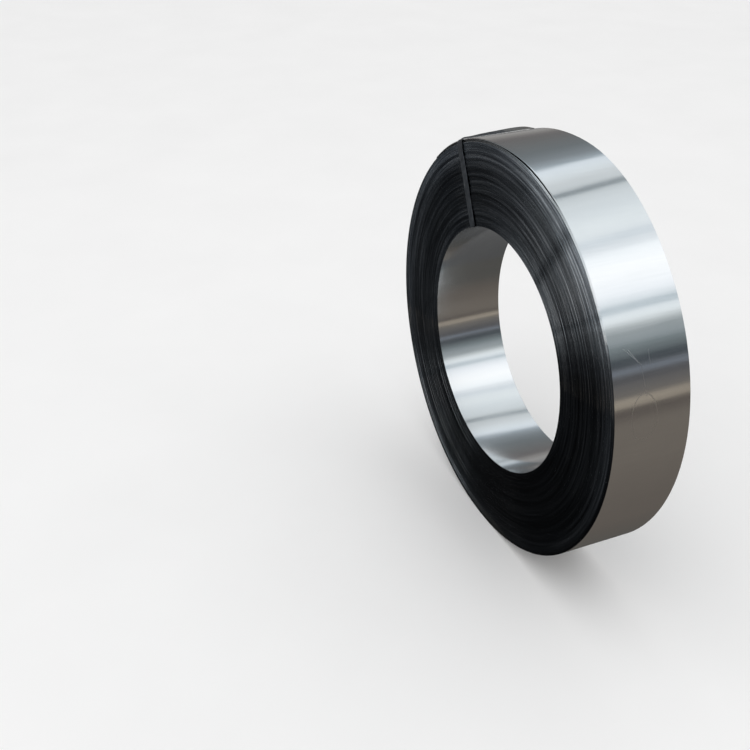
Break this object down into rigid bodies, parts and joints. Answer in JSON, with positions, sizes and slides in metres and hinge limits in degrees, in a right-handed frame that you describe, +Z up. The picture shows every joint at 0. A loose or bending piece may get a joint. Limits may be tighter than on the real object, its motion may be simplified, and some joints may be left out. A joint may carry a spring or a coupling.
{
  "type": "steel strip coil",
  "caption": "Narrow bright steel strip wound into a thick ring with an open bore, standing on its rim, with a flat steel strap round the wall.",
  "frame": {"origin": "on the floor, below the middle of the bore, half-way along the coil's width", "axes": "+X along the coil's axis, from the end that faces the camera to the hidden end; +Z up; -Y towards the camera"},
  "size_m": [0.1612, 0.848, 0.8519],
  "materials": {
    "bright_strip": "bright cold-rolled, smooth, with fine rolling lines",
    "strapping": "blued, dull",
    "seal": "zinc plated, dull"
  },
  "bodies": {
    "root": {"coil": "bright_strip", "strap": "strapping", "strap_seal": "seal"}
  },
  "joints": []
}
